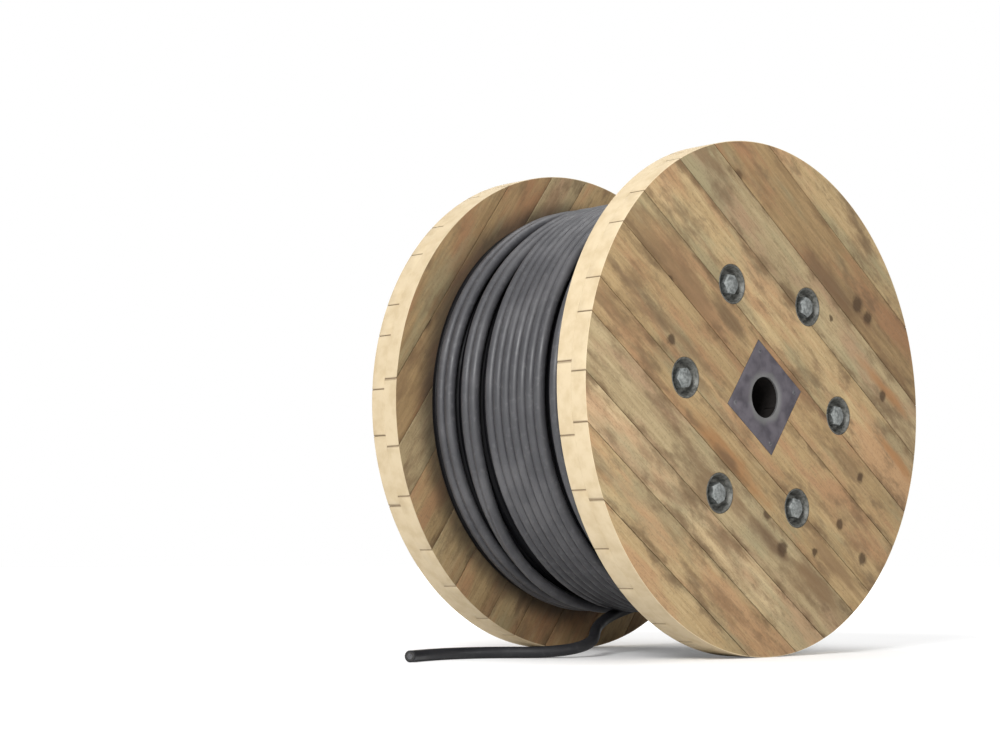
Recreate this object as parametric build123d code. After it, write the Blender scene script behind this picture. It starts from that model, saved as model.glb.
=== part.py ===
from build123d import *
import os
from math import cos, radians, sin, tan

# Wooden cable drum with its cable, lying on its two rims. Millimetres, +Z up, the drum's axis along Y.
# The origin is on the floor, under the middle of the drum. The front flange is at -Y, the rear one at +Y.

# Flanges: two plies of boards each, the outer ply running one way and the inner ply across it
FLANGE_D = 1000
TRAVERSE = 444.6
BOARD_THICKNESS = 36
BOARD_GAP = 1.2
OUTER_BOARD_ANGLE = -36
INNER_BOARD_ANGLE = OUTER_BOARD_ANGLE + 90

# Joints between boards among the rods, each as a rod's number and the distance across the boards from
# that rod to the joint; number 0 is the spindle hole
OUTER_JOINTS = [(5, -43), (5, 54), (4, 1.5), (0, 8), (1, -24.5), (2, -23), (2, 69)]
INNER_JOINTS = [(1, -14.2), (1, 71.8), (0, -50), (0, 60), (3, -47.8), (3, 61.2)]

# Widths of the boards from one rim to the first joint and from the last joint to the other rim, by which
# they share the room there
OUTER_RIM_BOARDS = ([66, 87, 71], [113, 85])
INNER_RIM_BOARDS = ([100, 95, 89], [80, 83, 74])

# Spindle hole, with a steel bush plate let into each outer face
SPINDLE_BORE_D = 80
WOOD_BORE_CLEARANCE = 2
PLATE_SIDE = 160
PLATE_THICKNESS = 5
PLATE_CLEARANCE = 0.5

# Tie rods from flange to flange. A cup washer fills each hole through the outer ply and bears on the inner
# one, and the nut lies in the cup, just below the flange's face.
ROD_COUNT = 6
ROD_D = 24
ROD_TO_STAVES = 7.6
FIRST_ROD_ANGLE = 30
ROD_HOLE_CLEARANCE = 0.5
CUP_HOLE_D = 78
CUP_CLEARANCE = 0.5
CUP_WALL = 4
NUT_ACROSS_FLATS = 36
NUT_HEIGHT = 21
NUT_BELOW_FACE = 1.5

# Barrel: flat staves whose ends stand in a groove in each flange
BARREL_D = 560
STAVE_COUNT = 24
STAVE_THICKNESS = 25
STAVE_GAP = 1.2
GROOVE_DEPTH = 12
GROOVE_CLEARANCE = 0.4

# Cable: one winding of many layers. The turns of its outer layer show, in bands with gaps between them.
CABLE_D = 22
WINDING_D = 840
WINDING_CLEARANCE = 0.3
FIRST_TURNS = 1
GAP_AFTER_FIRST_TURNS = 10
LOOSE_TURNS = 2
TURN_LOOSENESS = 5
GAP_AMONG_LOOSE_TURNS = 15
FREE_END_CLEARANCE = 0.3
CLOSE_TURNS = 7
GAP_AFTER_CLOSE_TURNS = 14

# Route of the cable's free end from the bottom of the winding down to the floor and along it. X and Y count
# from where it leaves the winding, Z from a cable that lies on the floor.
FREE_END_ROUTE = [
    (-112, 0, 58),
    (-270, -145, 0),
    (-460, 50, 0),
    (-625, -24, 0),
]
ARC_SHARE = 0.45

AXIS_HEIGHT = FLANGE_D / 2
FLANGE_THICKNESS = 2 * BOARD_THICKNESS
INNER_FACE = TRAVERSE / 2
PLY_FACE = INNER_FACE + BOARD_THICKNESS
OUTER_FACE = INNER_FACE + FLANGE_THICKNESS
WINDING_END = INNER_FACE - WINDING_CLEARANCE
AXIS_POINT = (0, 0, AXIS_HEIGHT)

# Distances of the staves' flat outer and inner sides from the axis
STAVE_OUTSIDE = BARREL_D / 2 * cos(radians(180 / STAVE_COUNT))
STAVE_INSIDE = STAVE_OUTSIDE - STAVE_THICKNESS


def along_y(shape, start_y):
    """Stand a shape made along +Z on the drum's axis, so that it runs along +Y from start_y."""
    return Location((0, start_y, AXIS_HEIGHT)) * (Rot(X=-90) * shape)


def disc(diameter, start_y, end_y, x=0, z=0):
    """A round bar along Y, at x and z from the drum's axis."""
    length = end_y - start_y
    bar = Cylinder(diameter / 2, length, align=(Align.CENTER, Align.CENTER, Align.MIN))
    return Location((x, 0, z)) * along_y(bar, start_y)


def rod_places():
    """The tie rods' places just inside the barrel, as x and z from the axis."""
    radius = STAVE_INSIDE - ROD_TO_STAVES - ROD_D / 2
    angles = [FIRST_ROD_ANGLE + OUTER_BOARD_ANGLE + step * 360 / ROD_COUNT for step in range(ROD_COUNT)]
    return [(radius * cos(radians(angle)), radius * sin(radians(angle))) for angle in angles]


def facing(side, near, far):
    """The Y span between two distances from the drum's middle, on the front (-1) or rear (+1) side."""
    return min(side * near, side * far), max(side * near, side * far)


def square_plate(side_length, start_y, end_y):
    """A square plate square to the axis, its sides in line with the outer boards."""
    size = (side_length, end_y - start_y, side_length)
    plate = Box(*size, align=(Align.CENTER, Align.MIN, Align.CENTER))
    return Location((0, start_y, AXIS_HEIGHT)) * (Rot(Y=-OUTER_BOARD_ANGLE) * plate)


def barrel_prism(flat_distance, start_y, end_y):
    """A prism with as many sides as the barrel has staves, at a distance from the axis."""
    outline = RegularPolygon(flat_distance, STAVE_COUNT, major_radius=False, rotation=180 / STAVE_COUNT)
    return along_y(extrude(outline, end_y - start_y), start_y)


def outer_ply(side):
    """The outer ply of a flange before it is divided: a disc with its bore, recess and holes for the cups."""
    ply = disc(FLANGE_D, *facing(side, PLY_FACE, OUTER_FACE))
    ply -= disc(SPINDLE_BORE_D + 2 * WOOD_BORE_CLEARANCE, *facing(side, INNER_FACE, OUTER_FACE))
    recess = facing(side, OUTER_FACE - PLATE_THICKNESS, OUTER_FACE)
    ply -= square_plate(PLATE_SIDE + 2 * PLATE_CLEARANCE, *recess)
    for x, z in rod_places():
        ply -= disc(CUP_HOLE_D, *facing(side, PLY_FACE, OUTER_FACE), x, z)
    return ply


def inner_ply(side):
    """The inner ply of a flange before it is divided: a disc with its bore, rod holes and stave groove."""
    ply = disc(FLANGE_D, *facing(side, INNER_FACE, PLY_FACE))
    ply -= disc(SPINDLE_BORE_D + 2 * WOOD_BORE_CLEARANCE, *facing(side, INNER_FACE, PLY_FACE))
    for x, z in rod_places():
        ply -= disc(ROD_D + 2 * ROD_HOLE_CLEARANCE, *facing(side, INNER_FACE, PLY_FACE), x, z)
    groove = facing(side, INNER_FACE, INNER_FACE + GROOVE_DEPTH)
    groove_ring = barrel_prism(STAVE_OUTSIDE + GROOVE_CLEARANCE, *groove)
    groove_ring -= barrel_prism(STAVE_INSIDE - GROOVE_CLEARANCE, *groove)
    return ply - groove_ring


def board_edges(joints, rim_boards, angle):
    """Where the boards of a ply meet, from rim to rim across boards that run at angle in the XZ plane."""
    places = [(0, 0)] + rod_places()
    across = [z * cos(radians(angle)) - x * sin(radians(angle)) for x, z in places]
    edges = [across[rod] + distance for rod, distance in joints]
    rim = FLANGE_D / 2 + BOARD_GAP
    before, after = rim_boards
    return shared_out(-rim, edges[0], before) + edges + shared_out(edges[-1], rim, after)[1:] + [rim]


def shared_out(start, end, widths):
    """The places, from start on, where boards begin that share the room up to end by their widths."""
    room = (end - start) / sum(widths)
    return [start + room * sum(widths[:place]) for place in range(len(widths))]


def divide(ply, edges, angle):
    """Cut a ply into its boards, which run at angle in the XZ plane, at the edges across them."""
    boards = []
    for low, high in zip(edges, edges[1:]):
        width = high - low - BOARD_GAP
        slab = Box(FLANGE_D + BOARD_GAP, 2 * OUTER_FACE + BOARD_GAP, width)
        slab = Location(AXIS_POINT) * (Rot(Y=-angle) * (Location((0, 0, (low + high) / 2)) * slab))
        boards.append(ply & slab)
    return boards


def bush_plate(side):
    """The square steel plate that lines the spindle hole of a flange."""
    span = facing(side, OUTER_FACE - PLATE_THICKNESS, OUTER_FACE)
    return square_plate(PLATE_SIDE, *span) - disc(SPINDLE_BORE_D, *span)


def tie_rod(x, z):
    """One rod from flange to flange: turned with the cup washers at its ends, and a nut in each cup."""
    nut_seat = OUTER_FACE - NUT_BELOW_FACE - NUT_HEIGHT
    cup_outside = CUP_HOLE_D / 2 - CUP_CLEARANCE
    cup_inside = cup_outside - CUP_WALL
    rear_half = [
        (ROD_D / 2, PLY_FACE),
        (cup_outside, PLY_FACE),
        (cup_outside, OUTER_FACE),
        (cup_inside, OUTER_FACE),
        (cup_inside, nut_seat),
        (0, nut_seat),
    ]
    front_half = [(radius, -y) for radius, y in reversed(rear_half)]
    rod = revolve(make_face(Polyline(*front_half, *rear_half, close=True)), Axis.Y)
    nut = extrude(RegularPolygon(NUT_ACROSS_FLATS / 2, 6, major_radius=False), NUT_HEIGHT)
    for seat in (nut_seat, -nut_seat - NUT_HEIGHT):
        rod += Location((0, seat, 0)) * (Rot(X=-90) * nut)
    return Location((x, 0, AXIS_HEIGHT + z)) * rod


def staves():
    """The barrel: flat staves with bevelled edges, their ends on the floors of the grooves."""
    edge_slope = tan(radians(180 / STAVE_COUNT))
    end = INNER_FACE + GROOVE_DEPTH
    outer_half = STAVE_OUTSIDE * edge_slope - STAVE_GAP / 2
    inner_half = STAVE_INSIDE * edge_slope - STAVE_GAP / 2
    outline = Polyline(
        (STAVE_INSIDE, -inner_half),
        (STAVE_OUTSIDE, -outer_half),
        (STAVE_OUTSIDE, outer_half),
        (STAVE_INSIDE, inner_half),
        close=True,
    )
    stave = extrude(make_face(outline), 2 * end)
    return [along_y(Rot(Z=step * 360 / STAVE_COUNT) * stave, -end) for step in range(STAVE_COUNT)]


# The outer layer's bands from the rear flange forward, each as its turns, the room for a turn and the gap
# after the band. The free end has left the third gap, and after the fourth as many turns lie as fit.
LOOSE_ROOM = CABLE_D + TURN_LOOSENESS
BANDS_BEHIND_FREE_END = [
    (FIRST_TURNS, CABLE_D, GAP_AFTER_FIRST_TURNS),
    (LOOSE_TURNS, LOOSE_ROOM, GAP_AMONG_LOOSE_TURNS),
    (LOOSE_TURNS, LOOSE_ROOM, CABLE_D + 2 * FREE_END_CLEARANCE),
]
BANDS_BEFORE_LAST = BANDS_BEHIND_FREE_END + [(CLOSE_TURNS, CABLE_D, GAP_AFTER_CLOSE_TURNS)]


def laid_width(bands):
    """The width along the axis that some bands and the gaps after them take."""
    return sum(turns * room + gap for turns, room, gap in bands)


def free_end_y():
    """The middle of the gap that the turn which leaves the winding has left in the outer layer."""
    return WINDING_END - laid_width(BANDS_BEHIND_FREE_END) + CABLE_D / 2 + FREE_END_CLEARANCE


def turns_outline():
    """The winding's outer edge from the rear flange to the front one, as points of radius and y. Each turn
    has a crest, turns side by side a valley between them, and a gap shows the layer below."""
    crest = WINDING_D / 2
    valley = crest - CABLE_D / 2
    under = crest - CABLE_D
    last_turns = int((2 * WINDING_END - laid_width(BANDS_BEFORE_LAST)) // CABLE_D)
    points = []
    start = WINDING_END
    for turns, room, gap in BANDS_BEFORE_LAST + [(last_turns, CABLE_D, 0)]:
        points.append((under, start))
        for turn in range(turns):
            points.append((crest, start - (turn + 0.5) * room))
            beside = valley if turn < turns - 1 else under
            points.append((beside, start - (turn + 1) * room))
        start -= turns * room + gap
    return points + [(under, -WINDING_END)]


def winding():
    """The wound cable as one turned solid with its bore round the barrel."""
    bore = BARREL_D / 2 + WINDING_CLEARANCE
    outline = Polyline((bore, WINDING_END), *turns_outline(), (bore, -WINDING_END), close=True)
    return Location(AXIS_POINT) * revolve(make_face(outline), Axis.Y)


def free_end_points():
    """The corners of the free end's route, starting on the winding's outer layer."""
    start_y = free_end_y()
    start = (0, start_y, AXIS_HEIGHT - WINDING_D / 2 + CABLE_D / 2 - FREE_END_CLEARANCE)
    return [start] + [(x, start_y + y, z + CABLE_D / 2) for x, y, z in FREE_END_ROUTE]


def free_end():
    """The cable's free end: straight runs joined by arcs as large as the runs allow."""
    points = [Vector(*point) for point in free_end_points()]
    radii = []
    for before, corner, after in zip(points, points[1:], points[2:]):
        shorter = min((corner - before).length, (after - corner).length)
        half_turn = radians((corner - before).get_angle(after - corner)) / 2
        radii.append(ARC_SHARE * shorter / tan(half_turn))
    path = FilletPolyline(*points, radius=radii)
    tube = sweep(Plane(path @ 0, z_dir=path % 0) * Circle(CABLE_D / 2), path=path)
    section = Circle(CABLE_D / 2).area
    print("free end arc radii", [round(radius) for radius in radii])
    print("free end length", round(path.length, 1), "volume over section times length",
          round(tube.volume / (section * path.length), 5))
    return tube


def save(name, shape):
    """Write one solid, or the solids of one list, as a named piece."""
    if isinstance(shape, list):
        shape = Compound([solid for piece in shape for solid in piece.solids()])
    export_step(shape, f"parts/{name}.step")


os.makedirs("parts", exist_ok=True)

for side_name, side in (("front", -1), ("rear", 1)):
    outer_edges = board_edges(OUTER_JOINTS, OUTER_RIM_BOARDS, OUTER_BOARD_ANGLE)
    inner_edges = board_edges(INNER_JOINTS, INNER_RIM_BOARDS, INNER_BOARD_ANGLE)
    plies = {
        "outer": divide(outer_ply(side), outer_edges, OUTER_BOARD_ANGLE),
        "inner": divide(inner_ply(side), inner_edges, INNER_BOARD_ANGLE),
    }
    for ply_name, boards in plies.items():
        for number, board in enumerate(boards, 1):
            save(f"{side_name}_{ply_name}_board_{number:02d}", board)
    save(f"{side_name}_bush_plate", bush_plate(side))

for number, (rod_x, rod_z) in enumerate(rod_places(), 1):
    save(f"tie_rod_{number}", tie_rod(rod_x, rod_z))

save("barrel_staves", staves())
save("cable_winding", winding())
save("cable_free_end", free_end())
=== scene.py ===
from math import cos, degrees, exp, pi, radians, sin, tan
from random import Random

import bmesh
import bpy
from mathutils import Matrix, Vector


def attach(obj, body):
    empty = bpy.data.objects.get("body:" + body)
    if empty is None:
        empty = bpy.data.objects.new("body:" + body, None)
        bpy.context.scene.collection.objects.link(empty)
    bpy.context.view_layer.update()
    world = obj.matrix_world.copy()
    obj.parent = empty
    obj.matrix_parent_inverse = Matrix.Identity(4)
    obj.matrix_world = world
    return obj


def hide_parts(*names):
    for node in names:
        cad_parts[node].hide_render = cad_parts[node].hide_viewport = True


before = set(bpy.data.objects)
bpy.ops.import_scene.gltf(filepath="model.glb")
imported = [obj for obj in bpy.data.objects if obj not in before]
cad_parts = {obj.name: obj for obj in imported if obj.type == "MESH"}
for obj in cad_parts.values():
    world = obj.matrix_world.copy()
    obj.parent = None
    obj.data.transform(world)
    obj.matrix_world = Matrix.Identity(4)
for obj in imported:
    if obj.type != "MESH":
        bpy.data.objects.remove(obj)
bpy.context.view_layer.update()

# Camera. The photograph is taken from near the floor, in front of the drum and to its left, with a long
# lens, so it shows the front flange, the cable between the flanges and the inside of the rear flange.
CAMERA_PLACE = (-3.0743, -2.7923, 0.1854)
CAMERA_TILT_DEGREES = 5.2243
CAMERA_TURN_DEGREES = -43.447
LENS_MILLIMETRES = 73.15
camera_lens = bpy.data.cameras.new("camera")
camera_lens.lens = LENS_MILLIMETRES
camera = bpy.data.objects.new("camera", camera_lens)
camera.location = CAMERA_PLACE
camera.rotation_euler = (radians(90 + CAMERA_TILT_DEGREES), 0, radians(CAMERA_TURN_DEGREES))
bpy.context.scene.collection.objects.link(camera)
bpy.context.scene.camera = camera

# Free end of the cable. One stiff run of black sheathed power cable comes off the bottom of the winding,
# sags to the floor and lies there in a slack bend, cut off square with a saw.
CABLE_DIAMETER = 0.022
FREE_END_START = (0, 0.0557, 0.0907)
FREE_END_ROUTE = [
    FREE_END_START,
    (-0.112, 0.0557, 0.069),
    (-0.270, -0.0893, 0.011),
    (-0.460, 0.1057, 0.011),
    (-0.625, 0.0317, 0.011),
]
SCUFF_SIZE = 0.012
DUST_FILM_SIZE = 0.11
SATIN_PATCH_SIZE = 0.05
SHEATH_GRAIN_SIZE = 0.004
SHEATH_GRAIN_DEPTH = 0.0004
MIX_SHARE, MIX_UNDER, MIX_OVER = 0, 6, 7
MIX_COLOUR_OUT = 2


def add(tree, kind, feeds=None, **settings):
    """Put a node in a tree, with its settings and with values or other nodes' outputs fed to its sockets."""
    made = tree.nodes.new(kind)
    for name, value in settings.items():
        setattr(made, name, value)
    for socket, value in (feeds or {}).items():
        if isinstance(value, bpy.types.NodeSocket):
            tree.links.new(value, made.inputs[socket])
        else:
            made.inputs[socket].default_value = value
    return made


def new_finish(name):
    """An empty material with its surface shader, as the material, its tree and the shader."""
    material = bpy.data.materials.new(name)
    material.use_nodes = True
    tree = material.node_tree
    return material, tree, tree.nodes["Principled BSDF"]


def place_of(tree):
    """Where each point of a piece is, in metres."""
    return add(tree, "ShaderNodeTexCoord").outputs["Object"]


def mottle(tree, place, size, detail=3.0, rough=0.55):
    """A soft cloudy pattern from 0 to 1, with clouds of about that size in metres."""
    feeds = {"Vector": place, "Scale": 1 / size, "Detail": detail, "Roughness": rough}
    return add(tree, "ShaderNodeTexNoise", feeds).outputs["Fac"]


def between(tree, value, low, high, start=0.0, end=1.0):
    """A value's way from low to high, drawn as a smooth step from start to end."""
    feeds = {"Value": value, "From Min": low, "From Max": high, "To Min": start, "To Max": end}
    return add(tree, "ShaderNodeMapRange", feeds, interpolation_type="SMOOTHSTEP").outputs["Result"]


def reckon(tree, operation, first, second=0.0):
    """A sum, product or the like of two numbers."""
    return add(tree, "ShaderNodeMath", {0: first, 1: second}, operation=operation).outputs[0]


def tint(tree, share, under, over):
    """One colour laid over another by a share from 0 to 1; each is a node's output or red, green and blue."""
    under, over = [(*colour, 1) if isinstance(colour, tuple) else colour for colour in (under, over)]
    feeds = {MIX_SHARE: share, MIX_UNDER: under, MIX_OVER: over}
    return add(tree, "ShaderNodeMix", feeds, data_type="RGBA").outputs[MIX_COLOUR_OUT]


def dress(tree, surface, colour, roughness, relief, depth, strength):
    """Feed a shader its colour, its roughness and a fine relief of about that depth in metres."""
    tree.links.new(colour, surface.inputs["Base Color"])
    tree.links.new(roughness, surface.inputs["Roughness"])
    bump = add(tree, "ShaderNodeBump", {"Strength": strength, "Distance": depth, "Height": relief})
    tree.links.new(bump.outputs["Normal"], surface.inputs["Normal"])


def sheath_finish(name, clean, dusty, scuffed, shine=0.5):
    """Black polyethylene sheath: satin, with faint scuffs and a film of dust. Its copies are made lighter or
    darker as painted sheen and painted shade.
    """
    material, tree, surface = new_finish(name)
    place = place_of(tree)
    scuffs = between(tree, mottle(tree, place, SCUFF_SIZE, detail=6.0, rough=0.65), 0.52, 0.72)
    dust = between(tree, mottle(tree, place, DUST_FILM_SIZE), 0.42, 0.70)
    colour = tint(tree, dust, clean, dusty)
    colour = tint(tree, reckon(tree, "MULTIPLY", scuffs, 0.5), colour, scuffed)
    roughness = between(tree, mottle(tree, place, SATIN_PATCH_SIZE), 0.3, 0.7, 0.40, 0.58)
    grain = mottle(tree, place, SHEATH_GRAIN_SIZE)
    surface.inputs["Specular IOR Level"].default_value = shine
    dress(tree, surface, colour, roughness, grain, SHEATH_GRAIN_DEPTH, 0.25)
    return material


def link(name, mesh, *materials):
    """An object for a mesh, with its materials, in the scene."""
    made = bpy.data.objects.new(name, mesh)
    for material in materials:
        made.data.materials.append(material)
    bpy.context.scene.collection.objects.link(made)
    return made


# The free end's sheath is a darker, less shiny copy of the winding's sheath, as painted shade.
painted_shade_end_sheath = sheath_finish("painted_shade_end_sheath", clean=(0.012, 0.012, 0.014), dusty=(0.020, 0.020, 0.022),
                             scuffed=(0.038, 0.038, 0.041), shine=0.35)
free_end_line = bpy.data.curves.new("cable_free_end_run", "CURVE")
free_end_line.dimensions = "3D"
free_end_line.bevel_depth = CABLE_DIAMETER / 2
free_end_line.bevel_resolution = 6
free_end_line.resolution_u = 16
free_end_line.use_fill_caps = True
free_end_spline = free_end_line.splines.new("NURBS")
free_end_spline.points.add(len(FREE_END_ROUTE) - 1)
for point, corner in zip(free_end_spline.points, FREE_END_ROUTE):
    point.co = (*corner, 1)
free_end_spline.order_u = 3
free_end_spline.use_endpoint_u = True
free_end = link("cable_free_end_run", free_end_line, painted_shade_end_sheath)

# Cut end of the cable. Inside the sheath lie the dark insulation and a round conductor of nineteen
# aluminium wires, which stand a little proud of the saw cut.
INSULATION_DIAMETER = 0.0165
INSULATION_SUNK = 0.004
INSULATION_PROUD = 0.0008
INSULATION_CHAMFER = 0.0004
WIRE_DIAMETER = 0.0021
WIRE_SUNK = 0.003
WIRE_PROUD = 0.0017
WIRE_CHAMFER = 0.0003
WIRES_PER_RING = (1, 6, 12)
PLAIN_GRAIN_DEPTH = 0.0003


def shade_smooth(mesh, sharp_from_degrees=35):
    """Shade a mesh smooth, apart from edges that turn by more than that."""
    mesh.polygons.foreach_set("use_smooth", [True] * len(mesh.polygons))
    mesh.set_sharp_from_angle(angle=radians(sharp_from_degrees))


def finished(shape, name):
    """The plain mesh of a shape that is done."""
    mesh = bpy.data.meshes.new(name)
    shape.to_mesh(mesh)
    shape.free()
    return mesh


def turned(rings, sides=32):
    """A mesh turned round Z from (radius, height) pairs, closed at an end whose radius is 0."""
    shape = bmesh.new()
    loops = []
    for radius, height in rings:
        if radius == 0:
            loops.append([shape.verts.new((0, 0, height))] * sides)
        else:
            angles = [2 * pi * step / sides for step in range(sides)]
            loops.append([shape.verts.new((radius * cos(a), radius * sin(a), height)) for a in angles])
    for low, high in zip(loops, loops[1:]):
        for step in range(sides):
            after = (step + 1) % sides
            corners = [low[step], low[after], high[after], high[step]]
            shape.faces.new(list(dict.fromkeys(corners)))
    bmesh.ops.recalc_face_normals(shape, faces=shape.faces)
    mesh = finished(shape, "turned")
    shade_smooth(mesh)
    return mesh


def stub(diameter, sunk, proud, chamfer, sides=32):
    """A short round stub along Z, from below a cut face at 0 to proud of it, with its end chamfered."""
    radius = diameter / 2
    return turned([(0, -sunk), (radius, -sunk), (radius, proud - chamfer), (radius - chamfer, proud),
                   (0, proud)], sides)


def joined(meshes_and_places):
    """One mesh from several, each put at its own place."""
    whole = bmesh.new()
    for mesh, place in meshes_and_places:
        moved = mesh.copy()
        moved.transform(place)
        whole.from_mesh(moved)
    return finished(whole, "joined")


def plain_finish(name, dark, light, size, roughness, metal=0.0):
    """A finish mottled between two colours, with a fine grain in its surface."""
    material, tree, surface = new_finish(name)
    place = place_of(tree)
    share = between(tree, mottle(tree, place, size, detail=5.0), 0.35, 0.65)
    dull_parts = mottle(tree, place, size / 3)
    roughness = between(tree, dull_parts, 0.3, 0.7, roughness - 0.1, roughness + 0.1)
    grain = mottle(tree, place, size / 8)
    surface.inputs["Metallic"].default_value = metal
    dress(tree, surface, tint(tree, share, dark, light), roughness, grain, PLAIN_GRAIN_DEPTH, 0.3)
    return material


last_run = Vector(FREE_END_ROUTE[-1]) - Vector(FREE_END_ROUTE[-2])
cut_face = Matrix.Translation(FREE_END_ROUTE[-1]) @ last_run.to_track_quat("Z", "Y").to_matrix().to_4x4()
dark_insulation = plain_finish("dark_insulation", dark=(0.020, 0.019, 0.018), light=(0.034, 0.033, 0.032),
                               size=0.004, roughness=0.6)
insulation = stub(INSULATION_DIAMETER, INSULATION_SUNK, INSULATION_PROUD, INSULATION_CHAMFER)
insulation.transform(cut_face)
cut_insulation = link("cable_cut_insulation", insulation, dark_insulation)

dull_aluminium = plain_finish("dull_aluminium", dark=(0.14, 0.14, 0.15), light=(0.24, 0.24, 0.25),
                              size=0.003, roughness=0.50, metal=1.0)
wire = stub(WIRE_DIAMETER, WIRE_SUNK, WIRE_PROUD, WIRE_CHAMFER, sides=10)
wire_places = []
for ring, wires in enumerate(WIRES_PER_RING):
    for step in range(wires):
        angle = 2 * pi * step / wires
        reach = ring * WIRE_DIAMETER
        wire_places.append((wire, Matrix.Translation((reach * cos(angle), reach * sin(angle), 0))))
conductor = joined(wire_places)
conductor.transform(cut_face)
cut_wires = link("cable_cut_wires", conductor, dull_aluminium)

for piece in (free_end, cut_insulation, cut_wires):
    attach(piece, "root")
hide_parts("cable_free_end")

# Winding. The cable lies in layers round the barrel. The outer layer is laid turn by turn towards the front
# flange, and steps over by a turn at the back of the drum. Near the rear flange its turns are slack: they
# lean forward at the top, with gaps between them, and one rides up on its neighbour low on the drum.
AXIS_HEIGHT = 0.5

# The radius of each layer's middle line, and the places of its turns along the drum's axis.
OUTER_LAY = 0.409
SUNK_LAY = 0.4000
UNDER_LAY = 0.3868
UNDER_PITCH = 0.0222
CLOSE_TURNS = [0.0470 - CABLE_DIAMETER * turn for turn in range(7)]
FRONT_TURNS = [-0.1275 - CABLE_DIAMETER * turn for turn in range(4)]
SLACK_TURNS = [0.1875, 0.1645, 0.1162, 0.0937]
SUNK_TURNS = [0.2110]
UNDER_TURNS = [0.1888 - UNDER_PITCH * turn for turn in range(19)]
STEP_START = radians(15)
STEP_END = radians(75)
SAMPLES_PER_TURN = 120

# How turns stray from true rounds; their places round the drum are in degrees, from +X over the top.
BACK_DRIFT = 0.0135
BACK_DRIFT_AT, BACK_DRIFT_REACH = 318, 50
WAVER = 0.0008
WAVES_PER_TURN = 3
WAVE_SHIFT_ALONG = 60
TOP_LEAN, TOP_LEAN_MORE = 0.011, 0.013
TOP_LEAN_AT, TOP_LEAN_REACH, TOP_LEAN_REACH_LESS = 115, 32, 7
LOW_LEAN, LOW_LEAN_MORE, LOW_LEAN_RIDING = -0.0015, 0.0085, 0.0080
LOW_LEAN_AT, LOW_LEAN_REACH = 238, 32
RIDING_RISE = 0.010
RIDING_AT, RIDING_REACH = 235, 28
GAP_TURNS_FROM, GAP_TURNS_SPREAD = 0.145, 0.02
RIDING_TURN_FROM, RIDING_TURN_SPREAD = 0.105, 0.008


def smooth(share):
    """A smooth step from 0 to 1."""
    share = min(max(share, 0), 1)
    return share * share * (3 - 2 * share)


def nearness(angle, middle, reach, sharpness=2):
    """How near an angle is to a middle one in degrees: 1 there and nearly 0 well past the reach."""
    away = (degrees(angle) - middle + 180) % 360 - 180
    return exp(-abs(away / reach) ** sharpness)


def beside_gap(y):
    """1 for the two slack turns just behind the front gap, else 0."""
    return smooth((GAP_TURNS_FROM - y) / GAP_TURNS_SPREAD)


def riding_up(y):
    """1 for the slack turn at the front gap, which rides up on its neighbour low on the drum, else 0."""
    return smooth((RIDING_TURN_FROM - y) / RIDING_TURN_SPREAD)


def slack_rise(angle, y):
    """How far a slack turn stands off a true round: all waver a little, and one rides up."""
    waver = WAVER * sin(WAVES_PER_TURN * angle + WAVE_SHIFT_ALONG * y)
    return waver + RIDING_RISE * riding_up(y) * nearness(angle, RIDING_AT, RIDING_REACH)


def slack_lean(angle, y):
    """How far a slack turn leans along the drum: forward at the top, most of all beside the front gap."""
    near_top = nearness(angle, TOP_LEAN_AT, TOP_LEAN_REACH - TOP_LEAN_REACH_LESS * beside_gap(y))
    top = -(TOP_LEAN + TOP_LEAN_MORE * beside_gap(y)) * near_top
    low = LOW_LEAN + LOW_LEAN_MORE * beside_gap(y) + LOW_LEAN_RIDING * riding_up(y)
    return top + low * nearness(angle, LOW_LEAN_AT, LOW_LEAN_REACH)


def stepping_over(turns_past):
    """How far a step over to the next turn has gone, from 0 to 1, at some part of a turn past its start."""
    return smooth(turns_past * 2 * pi / (STEP_END - STEP_START))


def laid_turns(turns, lay, start_y, start_angle=STEP_START, first_lay=UNDER_LAY, slack=False, drifts=False):
    """Points along a cable that comes in at a place, goes round once at each turn's place and dives under."""
    points = []
    last = len(turns) - 1
    samples = int(SAMPLES_PER_TURN * (len(turns) + (STEP_END - start_angle) / (2 * pi)))
    for sample in range(samples + 1):
        angle = start_angle + 2 * pi * sample / SAMPLES_PER_TURN
        turn = (angle - STEP_START) / (2 * pi)
        done = int(turn // 1)
        before = start_y if done < 1 else turns[min(done - 1, last)]
        after = start_y if done < 0 else turns[min(done, last)]
        y = before + (after - before) * stepping_over(turn - done)
        coming_up = (first_lay - lay) * (1 - stepping_over(turn))
        going_under = (UNDER_LAY - lay) * stepping_over(turn - len(turns))
        radius = lay + coming_up + going_under
        if slack:
            radius += slack_rise(angle, y)
            y += slack_lean(angle, y)
        elif turn > 0 and drifts:
            y -= BACK_DRIFT * nearness(angle, BACK_DRIFT_AT, BACK_DRIFT_REACH, sharpness=4)
        points.append((radius * cos(angle), y, AXIS_HEIGHT + radius * sin(angle)))
    return points


def path_mesh(*lines):
    """A mesh of open lines of points."""
    mesh = bpy.data.meshes.new("path")
    points, edges = [], []
    for line in lines:
        edges += [(len(points) + place, len(points) + place + 1) for place in range(len(line) - 1)]
        points += line
    mesh.from_pydata(points, edges, [])
    return mesh


def new_tree(name, inputs, output):
    """An empty geometry tree with its named inputs, as the tree and its inputs' sockets."""
    tree = bpy.data.node_groups.new(name, "GeometryNodeTree")
    for socket_name, kind in inputs:
        tree.interface.new_socket(socket_name, in_out="INPUT", socket_type="NodeSocket" + kind)
    tree.interface.new_socket(output, in_out="OUTPUT", socket_type="NodeSocketGeometry")
    return tree, add(tree, "NodeGroupInput").outputs


def end_tree(tree, geometry, material, output):
    """Make what a tree has made into real meshes of one material, and hand it out."""
    whole = add(tree, "GeometryNodeRealizeInstances", {"Geometry": geometry})
    dressed = add(tree, "GeometryNodeSetMaterial", {"Geometry": whole.outputs[0], "Material": material})
    add(tree, "NodeGroupOutput", {output: dressed.outputs["Geometry"]})


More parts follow.
